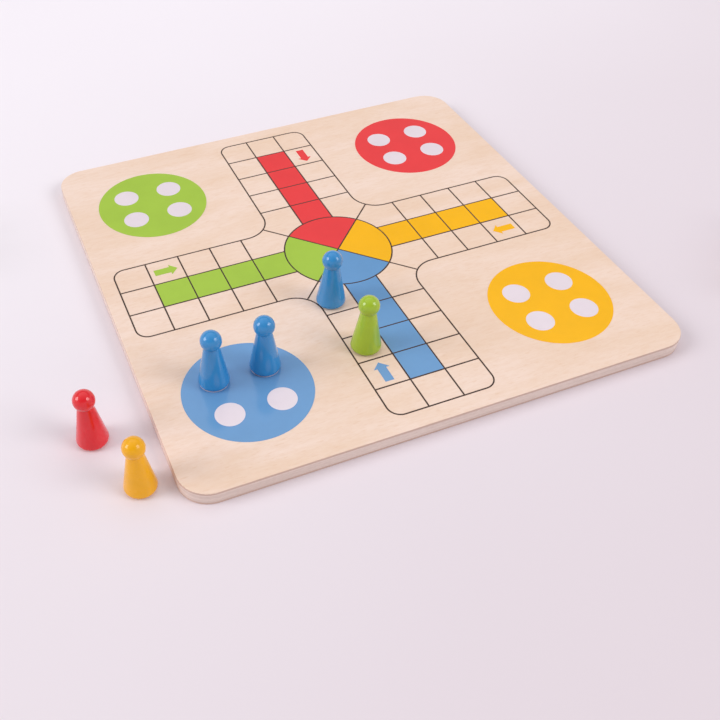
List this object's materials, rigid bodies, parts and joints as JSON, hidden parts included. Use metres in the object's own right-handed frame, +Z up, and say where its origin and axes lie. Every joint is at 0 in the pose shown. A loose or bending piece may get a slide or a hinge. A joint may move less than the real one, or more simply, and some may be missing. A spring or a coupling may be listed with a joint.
{
  "type": "ludo board game",
  "caption": "Square wooden ludo board with a printed cross-shaped track and home discs, turned ball-headed pawns in four colours, and a die.",
  "frame": {"origin": "middle of the board's underside, on the table", "axes": "+Z up out of the printed face, +X to the right along the front edge, +Y to the back; the front edge faces -Y"},
  "size_m": [0.586, 0.301, 0.0459],
  "materials": {
    "face_veneer": "pale sanded veneer under a thin satin lacquer, fine grain from side to side",
    "core_ply": "bare sanded plywood edge",
    "brown_ink": "screen-printed ink",
    "white_ink": "screen-printed ink",
    "die_wood": "smooth sanded wood with painted pips",
    "yellow_ink": "screen-printed ink, glossy",
    "red_ink": "screen-printed ink, glossy",
    "green_ink": "screen-printed ink, glossy",
    "blue_ink": "screen-printed ink, glossy",
    "yellow_paint": "turned wood under gloss paint",
    "red_paint": "turned wood under gloss paint",
    "green_paint": "turned wood under gloss paint",
    "blue_paint": "turned wood under gloss paint"
  },
  "bodies": {
    "board": {"bottom_veneer": "face_veneer", "core": "core_ply", "top_veneer": "face_veneer", "line_print": "brown_ink", "white_print": "white_ink", "yellow_print": "yellow_ink", "red_print": "red_ink", "green_print": "green_ink", "blue_print": "blue_ink"},
    "blue_pawn_1": {"blue_pawn_1": "blue_paint"},
    "blue_pawn_2": {"blue_pawn_2": "blue_paint"},
    "blue_pawn_3": {"blue_pawn_3": "blue_paint"},
    "green_pawn_1": {"green_pawn_1": "green_paint"},
    "red_pawn_1": {"red_pawn_1": "red_paint"},
    "yellow_pawn_1": {"yellow_pawn_1": "yellow_paint"},
    "green_pawn_2": {"green_pawn_2": "green_paint"},
    "green_pawn_3": {"green_pawn_3": "green_paint"},
    "green_pawn_4": {"green_pawn_4": "green_paint"},
    "red_pawn_2": {"red_pawn_2": "red_paint"},
    "red_pawn_3": {"red_pawn_3": "red_paint"},
    "red_pawn_4": {"red_pawn_4": "red_paint"},
    "yellow_pawn_2": {"yellow_pawn_2": "yellow_paint"},
    "yellow_pawn_3": {"yellow_pawn_3": "yellow_paint"},
    "yellow_pawn_4": {"yellow_pawn_4": "yellow_paint"},
    "blue_pawn_4": {"blue_pawn_4": "blue_paint"},
    "die": {"die": "die_wood"}
  },
  "joints": [
    {"name": "blue_pawn_1_lift", "type": "slide", "parent": "board", "child": "blue_pawn_1", "axis": [0, 0, 1], "range_m": [0, 0.05]},
    {"name": "blue_pawn_2_lift", "type": "slide", "parent": "board", "child": "blue_pawn_2", "axis": [0, 0, 1], "range_m": [0, 0.05]},
    {"name": "blue_pawn_3_lift", "type": "slide", "parent": "board", "child": "blue_pawn_3", "axis": [0, 0, 1], "range_m": [0, 0.05]},
    {"name": "green_pawn_1_lift", "type": "slide", "parent": "board", "child": "green_pawn_1", "axis": [0, 0, 1], "range_m": [0, 0.05]},
    {"name": "red_pawn_1_lift", "type": "slide", "parent": "board", "child": "red_pawn_1", "axis": [0, 0, 1], "range_m": [0, 0.05]},
    {"name": "yellow_pawn_1_lift", "type": "slide", "parent": "board", "child": "yellow_pawn_1", "axis": [0, 0, 1], "range_m": [0, 0.05]},
    {"name": "green_pawn_2_lift", "type": "slide", "parent": "board", "child": "green_pawn_2", "axis": [0, 0, 1], "range_m": [0, 0.05]},
    {"name": "green_pawn_3_lift", "type": "slide", "parent": "board", "child": "green_pawn_3", "axis": [0, 0, 1], "range_m": [0, 0.05]},
    {"name": "green_pawn_4_lift", "type": "slide", "parent": "board", "child": "green_pawn_4", "axis": [0, 0, 1], "range_m": [0, 0.05]},
    {"name": "red_pawn_2_lift", "type": "slide", "parent": "board", "child": "red_pawn_2", "axis": [0, 0, 1], "range_m": [0, 0.05]},
    {"name": "red_pawn_3_lift", "type": "slide", "parent": "board", "child": "red_pawn_3", "axis": [0, 0, 1], "range_m": [0, 0.05]},
    {"name": "red_pawn_4_lift", "type": "slide", "parent": "board", "child": "red_pawn_4", "axis": [0, 0, 1], "range_m": [0, 0.05]},
    {"name": "yellow_pawn_2_lift", "type": "slide", "parent": "board", "child": "yellow_pawn_2", "axis": [0, 0, 1], "range_m": [0, 0.05]},
    {"name": "yellow_pawn_3_lift", "type": "slide", "parent": "board", "child": "yellow_pawn_3", "axis": [0, 0, 1], "range_m": [0, 0.05]},
    {"name": "yellow_pawn_4_lift", "type": "slide", "parent": "board", "child": "yellow_pawn_4", "axis": [0, 0, 1], "range_m": [0, 0.05]},
    {"name": "blue_pawn_4_lift", "type": "slide", "parent": "board", "child": "blue_pawn_4", "axis": [0, 0, 1], "range_m": [0, 0.05]},
    {"name": "die_lift", "type": "slide", "parent": "board", "child": "die", "axis": [0, 0, 1], "range_m": [0, 0.05]}
  ]
}
